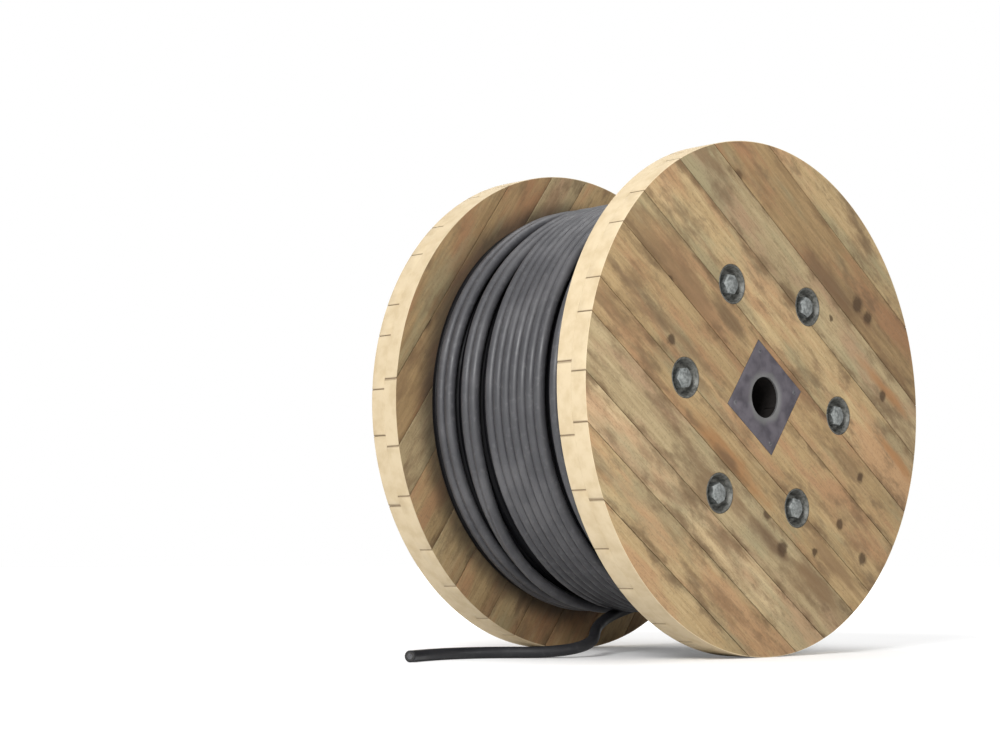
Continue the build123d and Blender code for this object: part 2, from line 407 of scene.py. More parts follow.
def lay_tree():
    """A tree that lays cable along a path: the path in, then the cable's diameter, sides and material."""
    tree, entry = new_tree("cable_along_path", (("Path", "Geometry"), ("Cable diameter", "Float"),
                           ("Sides", "Int"), ("Sheath", "Material")), "Cable")
    radius = reckon(tree, "MULTIPLY", entry["Cable diameter"], 0.5)
    section = add(tree, "GeometryNodeCurvePrimitiveCircle", {"Resolution": entry["Sides"], "Radius": radius})
    line = add(tree, "GeometryNodeMeshToCurve", {"Mesh": entry["Path"]})
    feeds = {"Curve": line.outputs["Curve"], "Profile Curve": section.outputs["Curve"], "Fill Caps": True}
    tube = add(tree, "GeometryNodeCurveToMesh", feeds)
    end_tree(tree, tube.outputs["Mesh"], entry["Sheath"], "Cable")
    return tree


def grown(name, seed_mesh, tree, inputs):
    """The plain mesh object that a geometry tree makes from a mesh, with the tree's named inputs set."""
    grower = link(name + "_seed", seed_mesh)
    modifier = grower.modifiers.new("grow", "NODES")
    modifier.node_group = tree
    for socket in tree.interface.items_tree:
        if socket.in_out == "INPUT" and socket.name in inputs:
            modifier[socket.identifier] = inputs[socket.name]
    depsgraph = bpy.context.evaluated_depsgraph_get()
    mesh = bpy.data.meshes.new_from_object(grower.evaluated_get(depsgraph))
    bpy.data.objects.remove(grower)
    shade_smooth(mesh)
    return link(name, mesh)


front_lay = laid_turns(CLOSE_TURNS + FRONT_TURNS, OUTER_LAY, start_y=FREE_END_START[1], start_angle=-pi / 2,
                       first_lay=OUTER_LAY, drifts=True)
rear_lay = laid_turns(SLACK_TURNS, OUTER_LAY, start_y=SLACK_TURNS[0], slack=True)
sunk_lay = laid_turns(SUNK_TURNS, SUNK_LAY, start_y=SUNK_TURNS[0])
under_lay = laid_turns(UNDER_TURNS, UNDER_LAY, start_y=UNDER_TURNS[0])
# The outer turns' sheath is lifted from black to dark grey as painted sheen, under its real film of dust and
# its scuffs.
dusty_painted_sheen_sheath = sheath_finish("dusty_painted_sheen_sheath", clean=(0.050, 0.050, 0.055), dusty=(0.082, 0.081, 0.086),
                             scuffed=(0.120, 0.119, 0.124))
# The sunk and under turns get a near-black, nearly matt copy of the sheath as painted shade in the gaps
# between outer turns.
painted_shade_sheath = sheath_finish("painted_shade_sheath", clean=(0.004, 0.004, 0.005), dusty=(0.007, 0.007, 0.008),
                                 scuffed=(0.010, 0.010, 0.011), shine=0.12)
cable_tree = lay_tree()
winding_turns = grown("cable_winding_turns", path_mesh(front_lay, rear_lay), cable_tree,
                      {"Cable diameter": CABLE_DIAMETER, "Sides": 16, "Sheath": dusty_painted_sheen_sheath})
winding_under = grown("cable_winding_under_turns", path_mesh(sunk_lay, under_lay), cable_tree,
                      {"Cable diameter": CABLE_DIAMETER, "Sides": 10, "Sheath": painted_shade_sheath})
for piece in (winding_turns, winding_under):
    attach(piece, "root")
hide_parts("cable_winding")

# Flange boards. Each flange is nailed up from two plies of sawn softwood boards laid crosswise, turned
# round on the outside. The faces are weathered tan, grey and pink; the fresh-cut rim is pale cream.
FLANGE_RADIUS = 0.5
OUTER_FACE = 0.2943
OUTER_BOARDS_ANGLE = radians(-36)
INNER_BOARDS_ANGLE = radians(54)
EASED_EDGE = 0.0007
EASED_FROM_ANGLE = radians(40)
FLAT_WITHIN_ANGLE = radians(0.4)
MERGE_DISTANCE = 0.00002
RIM_BOARD_MARGIN = 0.01
FAR_OFF = 1
GRAIN_SHIFT = 5
CHANCE_SEED = 7
WOOD_GRAIN_DEPTH = 0.0009
# Of these colours, the ones beside the cable and in the bore are painted shade; the rest are the wood's own.
GREYED_WOOD = (0.225, 0.205, 0.118)
STAINED_WOOD = (0.140, 0.080, 0.040)
BLOTCHED_WOOD = (0.125, 0.080, 0.042)
FIBRE_WOOD = (0.15, 0.10, 0.055)
SPECKLED_WOOD = (0.11, 0.080, 0.048)
KNOT_WOOD = (0.052, 0.029, 0.014)
JOINT_DIRT = (0.104, 0.060, 0.028)
PAINTED_CABLE_SHADE = (0.030, 0.024, 0.018)
PAINTED_BORE_SHADE = (0.010, 0.008, 0.007)
RIM_CREAM = (0.60, 0.49, 0.325)
RIM_TAN = (0.52, 0.41, 0.255)
RIM_JOINT = (0.20, 0.14, 0.085)

# Where the joints' dirt, the painted shade beside the cable and the painted shade in the bore start to fade
# and have faded out, and where the fresh wood of the rim comes in, in metres from the nearest joint or from
# the drum's axis. The inner faces are told by their distance from its middle.
JOINT_DIRT_START, JOINT_DIRT_END = 0.001, 0.021
INNER_JOINTS_SHARE = 0.35
PAINTED_CABLE_SHADE_START, PAINTED_CABLE_SHADE_END, PAINTED_CABLE_SHADE_SHARE = 0.420, 0.466, 0.75
PAINTED_CABLE_SHADE_UNEVENNESS = 0.016
PAINTED_BORE_SHADE_START, PAINTED_BORE_SHADE_END = 0.043, 0.060
RIM_START, RIM_END = 0.4984, 0.4994
RIM_JOINT_START, RIM_JOINT_END = 0.0003, 0.0016
INNER_FACE_START, INNER_FACE_END = 0.2226, 0.2236

# Where the dark core of a knot or stain ends and where it has faded out, in parts of its size.
KNOT_CORE, KNOT_END, KNOT_SHARE = 0.45, 1.15, 0.85
KNOT_WANDER = 0.008
SMALL_KNOT_CORE, SMALL_KNOT_END = 0.020, 0.065
SMALL_KNOTS_PER_METRE = 4.0
SMALL_KNOTS_LEFT_OUT = 0.68
STAIN_CORE, STAIN_END, STAIN_SHARE = 0.35, 1.15, 0.72
STAIN_RAGGEDNESS = 2.2

# The light, dark and warm wood of each tone of board, and the tones of each ply's boards in their order.
BOARD_TONES = {
    "tan": ((0.378, 0.268, 0.134), (0.250, 0.166, 0.078), (0.325, 0.182, 0.092)),
    "pale": ((0.432, 0.320, 0.168), (0.305, 0.210, 0.102), (0.365, 0.215, 0.110)),
    "brown": ((0.305, 0.205, 0.099), (0.182, 0.116, 0.053), (0.265, 0.138, 0.068)),
    "cream": ((0.510, 0.392, 0.224), (0.365, 0.262, 0.140), (0.420, 0.265, 0.150)),
    "grey": ((0.365, 0.284, 0.158), (0.255, 0.188, 0.100), (0.305, 0.196, 0.115)),
}
TONE_ORDER = {
    "front_outer": ["pale", "pale", "cream", "grey", "tan", "tan", "tan", "pale", "grey", "brown", "pale"],
    "front_inner": ["tan", "grey", "brown", "tan", "pale", "tan", "brown", "tan", "grey", "tan", "pale"],
    # The rear inner ply's mostly brown tones make it darker, partly as painted shade.
    "rear_inner": ["brown", "tan", "brown", "brown", "tan", "tan", "pale", "tan", "grey", "brown", "brown"],
    "rear_outer": ["tan", "pale", "grey", "tan", "brown", "tan", "pale", "tan", "brown", "tan", "grey"],
}

# The large knots of the front face by board, each as its place from the drum's axis and its radius.
FRONT_KNOTS = {
    4: [((0.003, -0.225), 0.015), ((0.047, -0.292), 0.018)],
    5: [((0.149, -0.299), 0.009)],
    6: [((-0.272, 0.092), 0.012), ((0.231, -0.243), 0.012), ((0.304, -0.312), 0.015)],
    7: [((-0.274, 0.203), 0.012), ((0.300, -0.147), 0.012)],
    8: [((-0.096, 0.134), 0.017)],
    9: [((0.382, 0.024), 0.014), ((0.212, 0.173), 0.007)],
    10: [((0.301, 0.207), 0.020), ((0.335, 0.183), 0.018), ((-0.076, 0.422), 0.016)],
}

# Its long stains by board, each as its place, half its length along the grain, half its width and its shade.
DARK_STAIN = (0.105, 0.064, 0.034)
BROWN_STAIN = (0.170, 0.104, 0.052)
RUST_STAIN = (0.270, 0.130, 0.050)
FRONT_STAINS = {
    4: [((0.00, -0.270), 0.09, 0.022, DARK_STAIN), ((0.17, -0.375), 0.10, 0.020, BROWN_STAIN)],
    5: [((-0.115, -0.119), 0.17, 0.022, RUST_STAIN), ((-0.115, -0.125), 0.05, 0.012, DARK_STAIN),
        ((0.20, -0.315), 0.13, 0.018, BROWN_STAIN)],
    7: [((-0.26, 0.225), 0.20, 0.036, BROWN_STAIN), ((-0.11, 0.150), 0.075, 0.020, DARK_STAIN)],
    8: [((0.42, -0.10), 0.10, 0.016, RUST_STAIN)],
    9: [((0.40, 0.03), 0.12, 0.018, RUST_STAIN)],
    10: [((0.225, 0.232), 0.14, 0.032, DARK_STAIN)],
}


def eased_copy(node, width):
    """A copy of a solid's mesh with its doubles merged and its sharp edges eased."""
    shape = bmesh.new()
    shape.from_mesh(node.data)
    bmesh.ops.remove_doubles(shape, verts=shape.verts, dist=MERGE_DISTANCE)
    bmesh.ops.dissolve_limit(shape, angle_limit=FLAT_WITHIN_ANGLE, verts=shape.verts, edges=shape.edges)
    sharp = [e for e in shape.edges if len(e.link_faces) == 2 and e.calc_face_angle(0) > EASED_FROM_ANGLE]
    bmesh.ops.bevel(shape, geom=sharp, offset=width, segments=2, profile=0.5, affect="EDGES",
                    clamp_overlap=True)
    mesh = finished(shape, node.name + "_eased")
    shade_smooth(mesh, sharp_from_degrees=28)
    return mesh


def board_span(mesh, angle):
    """Where a board's two joints are across the grain; on its rim side a rim board's joint is put far off."""
    places = [(v.co.z - AXIS_HEIGHT) * cos(angle) - v.co.x * sin(angle) for v in mesh.vertices]
    low, high = min(places), max(places)
    at_rim = FLANGE_RADIUS - RIM_BOARD_MARGIN
    return (low if low > -at_rim else -FAR_OFF), (high if high < at_rim else FAR_OFF)


def board_coordinates(mesh, angle, shift, low, high):
    """Store where each point is along, across and through its board, and how far it is from the joints."""
    grain = mesh.attributes.new("grain", "FLOAT_VECTOR", "POINT")
    joint = mesh.attributes.new("joint", "FLOAT_VECTOR", "POINT")
    for vertex, grain_point, joint_point in zip(mesh.vertices, grain.data, joint.data):
        x, y, z = vertex.co.x, vertex.co.y, vertex.co.z - AXIS_HEIGHT
        along = x * cos(angle) + z * sin(angle)
        across = z * cos(angle) - x * sin(angle)
        grain_point.vector = (along + shift[0], across + shift[1], y + shift[2])
        joint_point.vector = (across - low, high - across, 0)


def stored(attribute):
    """A function that gives, in whichever tree asks for it, the socket of an attribute of the mesh."""
    return lambda tree: add(tree, "ShaderNodeAttribute", attribute_name=attribute).outputs["Vector"]


def distance_from_axis(tree, axes):
    """How far each point is from the drum's axis, from the parts of its place along X, Y and Z."""
    height = reckon(tree, "SUBTRACT", axes["Z"], AXIS_HEIGHT)
    squares = [reckon(tree, "POWER", side, 2) for side in (axes["X"], height)]
    return reckon(tree, "SQRT", reckon(tree, "ADD", *squares))


def add_stains(tree, colour, spot, blotches, stained):
    """Lay long stains with ragged edges over the wood of the front face."""
    ragged = reckon(tree, "MULTIPLY", reckon(tree, "SUBTRACT", blotches, 0.5), STAIN_RAGGEDNESS)
    for (x, z), length, width, shade in stained:
        feeds = {"Vector": spot, "Location": (x, -OUTER_FACE, AXIS_HEIGHT + z),
                 "Rotation": (0, -OUTER_BOARDS_ANGLE, 0), "Scale": (length, 1, width)}
        inside = add(tree, "ShaderNodeMapping", feeds, vector_type="TEXTURE").outputs["Vector"]
        reach = add(tree, "ShaderNodeVectorMath", {0: inside}, operation="LENGTH").outputs["Value"]
        reach = reckon(tree, "ADD", reach, ragged)
        colour = tint(tree, between(tree, reach, STAIN_CORE, STAIN_END, STAIN_SHARE, 0), colour, shade)
    return colour


def add_knots(tree, colour, spot, stretched_grain, knots):
    """Lay knots over the wood: small ones here and there, and the large ones of the front face."""
    feeds = {"Vector": stretched_grain, "Scale": SMALL_KNOTS_PER_METRE, "Randomness": 1.0}
    cell = add(tree, "ShaderNodeTexVoronoi", feeds, voronoi_dimensions="2D")
    picked = add(tree, "ShaderNodeSeparateColor", {"Color": cell.outputs["Color"]}).outputs[0]
    knot = between(tree, cell.outputs["Distance"], SMALL_KNOT_CORE, SMALL_KNOT_END, 1, 0)
    picked = between(tree, picked, SMALL_KNOTS_LEFT_OUT, SMALL_KNOTS_LEFT_OUT + 0.02)
    knot = reckon(tree, "MULTIPLY", knot, picked)
    wander = reckon(tree, "MULTIPLY", mottle(tree, spot, 0.012), 2 * KNOT_WANDER)
    wander = reckon(tree, "SUBTRACT", wander, KNOT_WANDER)
    for (x, z), radius in knots:
        feeds = {0: spot, 1: (x, -OUTER_FACE, AXIS_HEIGHT + z)}
        reach = add(tree, "ShaderNodeVectorMath", feeds, operation="DISTANCE").outputs["Value"]
        reach = reckon(tree, "ADD", reach, wander)
        large_knot = between(tree, reach, radius * KNOT_CORE, radius * KNOT_END, 1, 0)
        knot = reckon(tree, "MAXIMUM", knot, large_knot)
    return tint(tree, reckon(tree, "MULTIPLY", knot, KNOT_SHARE), colour, KNOT_WOOD)


def add_joints(tree, colour, gap, inward, blotches):
    """Lay dirt along the joints, in patches, and less of it on the inner faces."""
    patches = between(tree, blotches, 0.43, 0.62, 0.08, 0.62)
    near = between(tree, gap, JOINT_DIRT_START, JOINT_DIRT_END, 1, 0)
    smear = reckon(tree, "MULTIPLY", near, patches)
    smear = reckon(tree, "MULTIPLY", smear, between(tree, inward, 0, 1, 1, INNER_JOINTS_SHARE))
    return tint(tree, smear, colour, JOINT_DIRT)


def add_painted_cable_shade(tree, colour, spot, inward, from_axis):
    """Paint shade on the inner faces beside the cable, with a soft uneven edge."""
    uneven = reckon(tree, "MULTIPLY", mottle(tree, spot, 0.05), PAINTED_CABLE_SHADE_UNEVENNESS)
    reach = reckon(tree, "ADD", from_axis, uneven)
    cable_shade = between(tree, reach, PAINTED_CABLE_SHADE_START, PAINTED_CABLE_SHADE_END, PAINTED_CABLE_SHADE_SHARE, 0)
    return tint(tree, reckon(tree, "MULTIPLY", inward, cable_shade), colour, PAINTED_CABLE_SHADE)


def add_rim(tree, colour, spot, gap, from_axis):
    """Make the fresh-cut rim cream, with dark lines at its joints."""
    cream = tint(tree, between(tree, mottle(tree, spot, 0.030, detail=4.0), 0.35, 0.75), RIM_CREAM, RIM_TAN)
    cream = tint(tree, between(tree, gap, RIM_JOINT_START, RIM_JOINT_END, 0.6, 0), cream, RIM_JOINT)
    return tint(tree, between(tree, from_axis, RIM_START, RIM_END), colour, cream)


def sawn_wood(name, grain, light, dark, warm, joint=None, knots=(), stained=()):
    """Weathered sawn softwood from the grain coordinates along, across and through a board."""
    material, tree, surface = new_finish(name)
    spot = place_of(tree)

    def stretched(along, across):
        feeds = {"Vector": grain(tree), "Scale": (along, across, across)}
        return add(tree, "ShaderNodeMapping", feeds).outputs["Vector"]

    streaks = mottle(tree, stretched(0.07, 1), 0.010, detail=6.0, rough=0.65)
    fibres = mottle(tree, stretched(0.05, 1), 0.0022, detail=3.0, rough=0.6)
    blotches = mottle(tree, stretched(0.40, 1), 0.042, detail=5.0, rough=0.64)
    warm_parts = mottle(tree, stretched(0.24, 1), 0.075, detail=4.0, rough=0.6)
    grey_parts = mottle(tree, stretched(0.30, 1.2), 0.11, detail=5.0, rough=0.62)
    stains = mottle(tree, stretched(0.28, 0.9), 0.060, detail=6.0, rough=0.68)
    speckle = mottle(tree, spot, 0.0045, detail=3.0, rough=0.7)
    colour = light
    for pattern, low, high, most, over in (
        (streaks, 0.30, 0.72, 0.80, dark),
        (warm_parts, 0.47, 0.63, 0.80, warm),
        (grey_parts, 0.50, 0.68, 0.60, GREYED_WOOD),
        (stains, 0.50, 0.66, 0.60, STAINED_WOOD),
        (blotches, 0.50, 0.70, 0.70, BLOTCHED_WOOD),
        (fibres, 0.45, 0.75, 0.35, FIBRE_WOOD),
        (speckle, 0.52, 0.70, 0.30, SPECKLED_WOOD),
    ):
        colour = tint(tree, between(tree, pattern, low, high, 0, most), colour, over)
    colour = add_stains(tree, colour, spot, blotches, stained)
    colour = add_knots(tree, colour, spot, stretched(0.55, 1.0), knots)

    if joint:
        near_joint = add(tree, "ShaderNodeSeparateXYZ", {"Vector": joint(tree)})
        gap = reckon(tree, "MINIMUM", near_joint.outputs["X"], near_joint.outputs["Y"])
        axes = add(tree, "ShaderNodeSeparateXYZ", {"Vector": spot}).outputs
        from_axis = distance_from_axis(tree, axes)
        from_middle = reckon(tree, "ABSOLUTE", axes["Y"])
        inward = between(tree, from_middle, INNER_FACE_START, INNER_FACE_END, 1, 0)
        colour = add_joints(tree, colour, gap, inward, blotches)
        # Painted shade on the inner faces beside the cable.
        colour = add_painted_cable_shade(tree, colour, spot, inward, from_axis)
        colour = add_rim(tree, colour, spot, gap, from_axis)
        # Painted shade in the bore: the wood near the axis is made near black.
        in_bore = between(tree, from_axis, PAINTED_BORE_SHADE_START, PAINTED_BORE_SHADE_END, 1, 0)
        colour = tint(tree, in_bore, colour, PAINTED_BORE_SHADE)

    roughness = between(tree, streaks, 0.3, 0.7, 0.62, 0.85)
    relief = reckon(tree, "ADD", reckon(tree, "MULTIPLY", streaks, 0.6), fibres)
    surface.inputs["Specular IOR Level"].default_value = 0.25
    dress(tree, surface, colour, roughness, relief, WOOD_GRAIN_DEPTH, 0.35)
    return material


chance = Random(CHANCE_SEED)
wood_finishes = {}
for node_name in sorted(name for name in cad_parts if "_board_" in name):
    ply, number = node_name.split("_board_")
    number = int(number)
    angle = OUTER_BOARDS_ANGLE if "outer" in ply else INNER_BOARDS_ANGLE
    mesh = eased_copy(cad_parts[node_name], EASED_EDGE)
    low, high = board_span(mesh, angle)
    shift = [chance.uniform(-GRAIN_SHIFT, GRAIN_SHIFT) for _ in range(3)]
    board_coordinates(mesh, angle, shift, low, high)
    tone = TONE_ORDER[ply][number - 1]
    knots = FRONT_KNOTS.get(number, []) if ply == "front_outer" else []
    stained = FRONT_STAINS.get(number, []) if ply == "front_outer" else []
    finish_key = node_name if knots or stained else tone
    if finish_key not in wood_finishes:
        wood_finishes[finish_key] = sawn_wood(
            "sawn_boards_" + finish_key, stored("grain"), *BOARD_TONES[tone],
            joint=stored("joint"), knots=knots, stained=stained)
    board = link(node_name + "_sawn", mesh, wood_finishes[finish_key])
    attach(board, "root")
    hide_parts(node_name)

# Barrel. Twenty-four flat staves stand in grooves in the inner plies, held by the pull of the tie rods.
# The cable hides them from outside; they are planed softwood and keep their solid.
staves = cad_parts["barrel_staves"]


def along_axis(tree):
    """The grain coordinates of the staves, whose grain runs along the drum's axis."""
    parts = add(tree, "ShaderNodeSeparateXYZ", {"Vector": place_of(tree)})
    feeds = {"X": parts.outputs["Y"], "Y": parts.outputs["X"], "Z": parts.outputs["Z"]}
    return add(tree, "ShaderNodeCombineXYZ", feeds).outputs["Vector"]


staves.data.materials.clear()
staves.data.materials.append(sawn_wood("planed_staves", along_axis, *BOARD_TONES["tan"]))

# Bush plates. A square plate of dark painted steel is let into each outer face round the spindle hole and
# held by four screws; the spindle has worn a bright ring round the hole.
PLATE_SIDE = 0.160
PLATE_EASED_EDGE = 0.0008
PLATE_GRAIN_DEPTH = 0.0005
PLATE_PAINT = ((0.060, 0.053, 0.064), (0.105, 0.094, 0.108))
WORN_STEEL = (0.165, 0.165, 0.160)
WORN_START, WORN_END, WORN_SHARE = 0.046, 0.060, 0.75
WORN_UNEVENNESS = 0.006
SCREW_INSET = 0.016
SCREW_SEAT = 0.2930
SCREW_RADIUS = 0.0055
SCREW_SUNK = 0.001
SCREW_EDGE = 0.0006
SCREW_SHOULDER = 0.0014
SCREW_TOP = 0.0017
SCREW_SOCKET_FLOOR = 0.0007


def plate_finish():
    """Dark purple-grey paint over steel, worn to a dull metal round the spindle hole."""
    material, tree, surface = new_finish("dark_plate_steel")
    place = place_of(tree)
    axes = add(tree, "ShaderNodeSeparateXYZ", {"Vector": place}).outputs
    blotches = between(tree, mottle(tree, place, 0.030, detail=5.0), 0.35, 0.65)
    uneven = reckon(tree, "MULTIPLY", blotches, WORN_UNEVENNESS)
    reach = reckon(tree, "ADD", distance_from_axis(tree, axes), uneven)
    worn = between(tree, reach, WORN_START, WORN_END, WORN_SHARE, 0)
    colour = tint(tree, worn, tint(tree, blotches, *PLATE_PAINT), WORN_STEEL)
    roughness = between(tree, blotches, 0, 1, 0.42, 0.62)
    surface.inputs["Metallic"].default_value = 0.35
    dress(tree, surface, colour, roughness, mottle(tree, place, 0.006), PLATE_GRAIN_DEPTH, 0.3)
    return material


plate_steel = plate_finish()
for side_name in ("front", "rear"):
    node_name = side_name + "_bush_plate"
    plate = link(node_name + "_eased", eased_copy(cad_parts[node_name], PLATE_EASED_EDGE), plate_steel)
    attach(plate, "root")
    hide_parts(node_name)


def set_out_tree():
    """A tree that sets a fastener out on points; each point's turn attribute says which way it faces."""
    tree, entry = new_tree("fasteners_on_points", (("Points", "Geometry"), ("Fastener", "Object"),
                           ("Finish", "Material")), "Fasteners")
    turn = add(tree, "GeometryNodeInputNamedAttribute", {"Name": "turn"}, data_type="FLOAT_VECTOR")
    facing = add(tree, "FunctionNodeEulerToRotation", {"Euler": turn.outputs["Attribute"]})
    shape = add(tree, "GeometryNodeObjectInfo", {"Object": entry["Fastener"]})
    feeds = {"Points": entry["Points"], "Instance": shape.outputs["Geometry"],
             "Rotation": facing.outputs["Rotation"]}
    copies = add(tree, "GeometryNodeInstanceOnPoints", feeds)
    end_tree(tree, copies.outputs["Instances"], entry["Finish"], "Fasteners")
    return tree


def points_mesh(places_and_turns):
    """A mesh of loose points, each with the turn of what stands on it."""
    mesh = bpy.data.meshes.new("points")
    mesh.from_pydata([place for place, turn in places_and_turns], [], [])
    turns = mesh.attributes.new("turn", "FLOAT_VECTOR", "POINT")
    for stored_turn, (place, turn) in zip(turns.data, places_and_turns):
        stored_turn.vector = turn
    return mesh


fastener_tree = set_out_tree()
screw_zinc = plain_finish("dull_zinc", dark=(0.075, 0.075, 0.080), light=(0.13, 0.13, 0.135),
                          size=0.006, roughness=0.55, metal=0.40)
screw = link("screw_pattern", turned([
    (0, -SCREW_SUNK), (SCREW_RADIUS, -SCREW_SUNK), (SCREW_RADIUS, SCREW_EDGE),
    (SCREW_RADIUS * 0.8, SCREW_SHOULDER), (SCREW_RADIUS * 0.36, SCREW_TOP),
    (SCREW_RADIUS * 0.30, SCREW_SOCKET_FLOOR), (0, SCREW_SOCKET_FLOOR)], 24))
screw_points = []
reach = PLATE_SIDE / 2 - SCREW_INSET
for side in (-1, 1):
    for across, along in ((-reach, -reach), (-reach, reach), (reach, -reach), (reach, reach)):
        x = along * cos(OUTER_BOARDS_ANGLE) - across * sin(OUTER_BOARDS_ANGLE)
        z = along * sin(OUTER_BOARDS_ANGLE) + across * cos(OUTER_BOARDS_ANGLE)
        place = (x, side * SCREW_SEAT, AXIS_HEIGHT + z)
        screw_points.append((place, (radians(-90 * side), 0, 0)))
plate_screws = grown("bush_plate_screws", points_mesh(screw_points), fastener_tree,
                     {"Fastener": screw, "Finish": screw_zinc})
bpy.data.objects.remove(screw)
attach(plate_screws, "root")

# Tie rods. Six zinc plated rods pull the flanges together inside the barrel. At each end a cup washer fills
# the hole through the outer ply, with a hexagon nut in it whose top lies just below the flange's face.
ROD_RADIUS = 0.012
ROD_CIRCLE_RADIUS = 0.2330
FIRST_ROD_ANGLE = radians(-6)
THREAD_ROOT_RADIUS = 0.0104
THREAD_EASED_RADIUS = 0.0116
ROD_END_SUNK = 0.001
ROD_END_SHOULDER = 0.0004
ROD_END_EDGE = 0.0012
ROD_END_TOP = 0.0013
CUP_SEAT = 0.2583
CUP_RADIUS = 0.0385
CUP_HEIGHT = 0.036
CUP_CHAMFER = 0.001
CUP_RIM_HEIGHT = 0.0358
CUP_RIM_INNER_RADIUS = 0.0365
CUP_MOUTH_RADIUS = 0.0354
CUP_MOUTH_HEIGHT = 0.0348
CUP_WALL_FOOT_RADIUS = 0.0305
CUP_WALL_FOOT_HEIGHT = 0.0175
CUP_CORNER_RADIUS = 0.0278
CUP_CORNER_HEIGHT = 0.0146
CUP_FLOOR_RADIUS = 0.0248
NUT_SEAT = 0.0135
NUT_HALF_WIDTH = 0.018
NUT_FACE_RADIUS = 0.97 * NUT_HALF_WIDTH
NUT_HEIGHT = 0.021
NUT_FACETS = 72
NUT_CHAMFER_ANGLE = radians(30)
# Zinc as lit, and zinc darkened as painted shade for the hollows of the cups and for the shanks.
UNSHADED_ZINC = ((0.125, 0.135, 0.132), (0.275, 0.290, 0.282))
RECESS_SHADED_ZINC = ((0.062, 0.063, 0.056), (0.150, 0.150, 0.136))
ZINC_GRAIN_DEPTH = 0.0003


def rod_finish():
    """Zinc, bright on the nuts and the rods' ends and darker in the cups as painted shade, by the stored
    share of painted shade.
    """
    material, tree, surface = new_finish("zinc_with_painted_recess_shade")
    place = place_of(tree)
    painted_recess_shade = add(tree, "ShaderNodeAttribute", attribute_name="painted_recess_shade").outputs["Fac"]
    patches = between(tree, mottle(tree, place, 0.006, detail=5.0), 0.35, 0.65)
    colour = tint(tree, painted_recess_shade, tint(tree, patches, *UNSHADED_ZINC), tint(tree, patches, *RECESS_SHADED_ZINC))
    roughness = between(tree, patches, 0, 1, 0.42, 0.60)
    surface.inputs["Metallic"].default_value = 0.45
    dress(tree, surface, colour, roughness, mottle(tree, place, 0.0012), ZINC_GRAIN_DEPTH, 0.25)
    return material


def with_painted_recess_shade(mesh, share):
    """A mesh whose points all store one share of painted shade."""
    painted_recess_shade = mesh.attributes.new("painted_recess_shade", "FLOAT", "POINT")
    painted_recess_shade.data.foreach_set("value", [share] * len(mesh.vertices))
    return mesh


def hexagon_nut():
    """A hexagon nut round Z with its corners chamfered, standing on a height of 0."""
    shape = bmesh.new()
    loops = []
    for at_top, on_face in ((False, True), (False, False), (True, False), (True, True)):
        loop = []
        for step in range(NUT_FACETS):
            angle = 2 * pi * step / NUT_FACETS
            corner = NUT_HALF_WIDTH / cos((angle % (pi / 3)) - pi / 6)
            radius = NUT_FACE_RADIUS if on_face else corner
            drop = 0 if on_face else (corner - NUT_FACE_RADIUS) * tan(NUT_CHAMFER_ANGLE)
            height = NUT_HEIGHT - drop if at_top else drop
            loop.append(shape.verts.new((radius * cos(angle), radius * sin(angle), height)))
        loops.append(loop)
    for low, high in zip(loops, loops[1:]):
        for step in range(NUT_FACETS):
            after = (step + 1) % NUT_FACETS
            shape.faces.new([low[step], low[after], high[after], high[step]])
    shape.faces.new(loops[-1])
    shape.faces.new(loops[0][::-1])
    bmesh.ops.recalc_face_normals(shape, faces=shape.faces)
    return finished(shape, "nut")


nut_top = NUT_SEAT + NUT_HEIGHT
rod_end_mesh = turned([
    (0, nut_top - ROD_END_SUNK), (THREAD_ROOT_RADIUS, nut_top - ROD_END_SUNK),
    (THREAD_EASED_RADIUS, nut_top + ROD_END_SHOULDER), (THREAD_ROOT_RADIUS, nut_top + ROD_END_EDGE),
    (0, nut_top + ROD_END_TOP)], 40)
cup_mesh = turned([
    (ROD_RADIUS, 0), (CUP_RADIUS - CUP_CHAMFER, 0), (CUP_RADIUS, CUP_CHAMFER),
    (CUP_RADIUS, CUP_HEIGHT - CUP_CHAMFER), (CUP_RADIUS - CUP_CHAMFER, CUP_RIM_HEIGHT),
    (CUP_RIM_INNER_RADIUS, CUP_RIM_HEIGHT), (CUP_MOUTH_RADIUS, CUP_MOUTH_HEIGHT),
    (CUP_WALL_FOOT_RADIUS, CUP_WALL_FOOT_HEIGHT), (CUP_CORNER_RADIUS, CUP_CORNER_HEIGHT),
    (CUP_FLOOR_RADIUS, NUT_SEAT), (ROD_RADIUS, NUT_SEAT), (ROD_RADIUS, 0)], 64)
shank_mesh = turned([(0, -CUP_SEAT), (ROD_RADIUS, -CUP_SEAT), (ROD_RADIUS, NUT_SEAT), (0, NUT_SEAT)], 40)
# Painted shade by part: full in the cups, some on the shanks and the rods' ends, none on the nuts.
head = link("rod_head_pattern", joined([
    (with_painted_recess_shade(cup_mesh, 1.0), Matrix()),
    (with_painted_recess_shade(hexagon_nut(), 0.0), Matrix.Translation((0, 0, NUT_SEAT))),
    (with_painted_recess_shade(rod_end_mesh, 0.1), Matrix()),
    (with_painted_recess_shade(shank_mesh, 0.4), Matrix()),
]))
rod_zinc = rod_finish()
for number in range(6):
    angle = FIRST_ROD_ANGLE + number * pi / 3
    x = ROD_CIRCLE_RADIUS * cos(angle)
    z = AXIS_HEIGHT + ROD_CIRCLE_RADIUS * sin(angle)
    turn = chance.uniform(0, pi / 3)
    ends = [((x, side * CUP_SEAT, z), (radians(-90 * side), turn, 0)) for side in (-1, 1)]
    node_name = f"tie_rod_{number + 1}"
    rod = grown(node_name + "_zinc", points_mesh(ends), fastener_tree, {"Fastener": head, "Finish": rod_zinc})
    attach(rod, "root")
    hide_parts(node_name)
bpy.data.objects.remove(head)

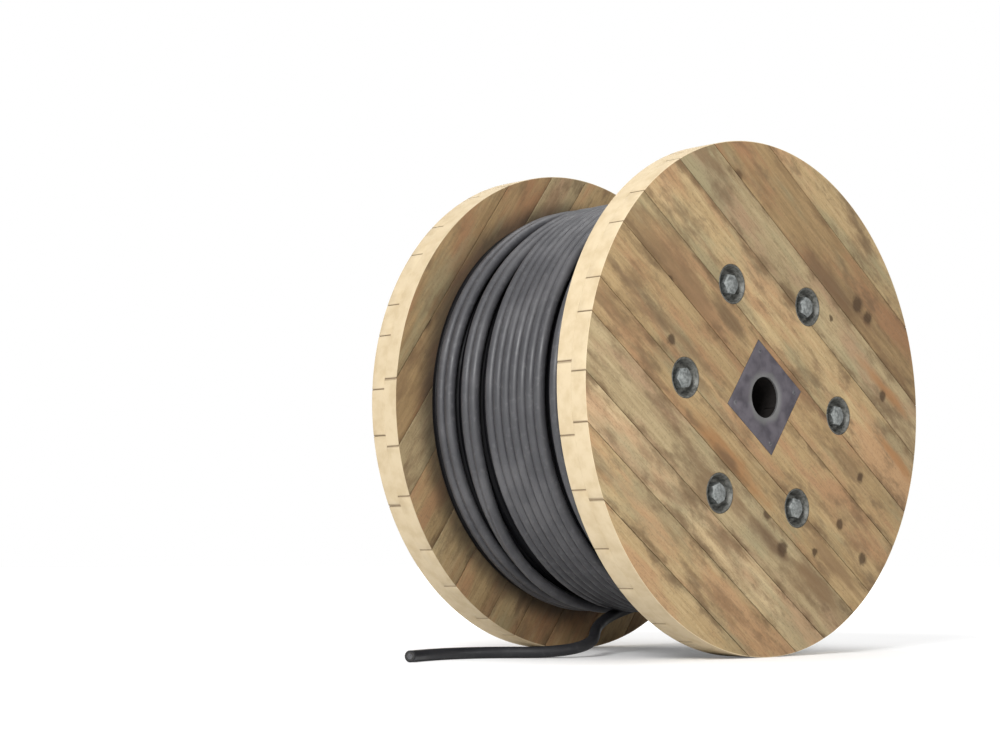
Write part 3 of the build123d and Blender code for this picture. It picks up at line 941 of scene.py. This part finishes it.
# Floor and light. The drum stands on a white studio floor in soft light, brightest from the left, where
# it picks out the cream rims and the turns of the cable.
FLOOR_REACH = 40
FLOOR_GREY = 0.86
FLOOR_GLOW_MIDDLE = (0.2, 0, 0)
FLOOR_GLOW_START, FLOOR_GLOW_END = 0.9, 2.2
FLOOR_GLOW_NEAR = 0.14
SKY_LIGHT = 0.40
WHITE = (1, 1, 1, 1)
floor = link("studio_floor", bpy.data.meshes.new("studio_floor"))
floor_corners = [(x * FLOOR_REACH, y * FLOOR_REACH, 0) for x, y in ((-1, -1), (1, -1), (1, 1), (-1, 1))]
floor.data.from_pydata(floor_corners, [], [(0, 1, 2, 3)])
floor_white, tree, surface = new_finish("studio_white")
surface.inputs["Base Color"].default_value = (FLOOR_GREY, FLOOR_GREY, FLOOR_GREY, 1)
surface.inputs["Roughness"].default_value = 0.8
surface.inputs["Specular IOR Level"].default_value = 0.1
eye = add(tree, "ShaderNodeLightPath").outputs["Is Camera Ray"]
feeds = {0: place_of(tree), 1: FLOOR_GLOW_MIDDLE}
away = add(tree, "ShaderNodeVectorMath", feeds, operation="DISTANCE").outputs["Value"]
brightness = between(tree, away, FLOOR_GLOW_START, FLOOR_GLOW_END, FLOOR_GLOW_NEAR, 1.0)
strength = reckon(tree, "MULTIPLY", eye, brightness)
glow = add(tree, "ShaderNodeEmission", {"Color": WHITE, "Strength": strength})
both = add(tree, "ShaderNodeAddShader", {0: surface.outputs[0], 1: glow.outputs[0]})
tree.links.new(both.outputs[0], tree.nodes["Material Output"].inputs["Surface"])
floor.data.materials.append(floor_white)

world = bpy.data.worlds.new("studio")
bpy.context.scene.world = world
world.use_nodes = True
tree = world.node_tree
rays = add(tree, "ShaderNodeLightPath").outputs
seen = reckon(tree, "MAXIMUM", rays["Is Camera Ray"], rays["Is Transmission Ray"])
strength = between(tree, seen, 0, 1, SKY_LIGHT, 1.0)
tree.links.new(strength, tree.nodes["Background"].inputs["Strength"])
tree.nodes["Background"].inputs["Color"].default_value = WHITE


def softbox(name, place, aim, size, power):
    """A square soft lamp at a place, aimed at a point."""
    lamp = bpy.data.lights.new(name, "AREA")
    lamp.size = size
    lamp.energy = power
    made = bpy.data.objects.new(name, lamp)
    made.location = place
    made.rotation_euler = (Vector(aim) - Vector(place)).to_track_quat("-Z", "Y").to_euler()
    bpy.context.scene.collection.objects.link(made)


softbox("key", place=(-4.1, -2.0, 2.4), aim=(0, 0, 0.5), size=1.6, power=200)
softbox("front", place=(0.2, -5.0, 1.6), aim=(0, 0, 0.4), size=3.0, power=99)
softbox("above", place=(0.3, 0.2, 4.5), aim=(0, 0, 0.5), size=3.0, power=85)
softbox("back", place=(2.2, 4.8, 2.4), aim=(0, 0, 0.5), size=3.4, power=90)

bpy.context.scene.view_settings.view_transform = "Standard"
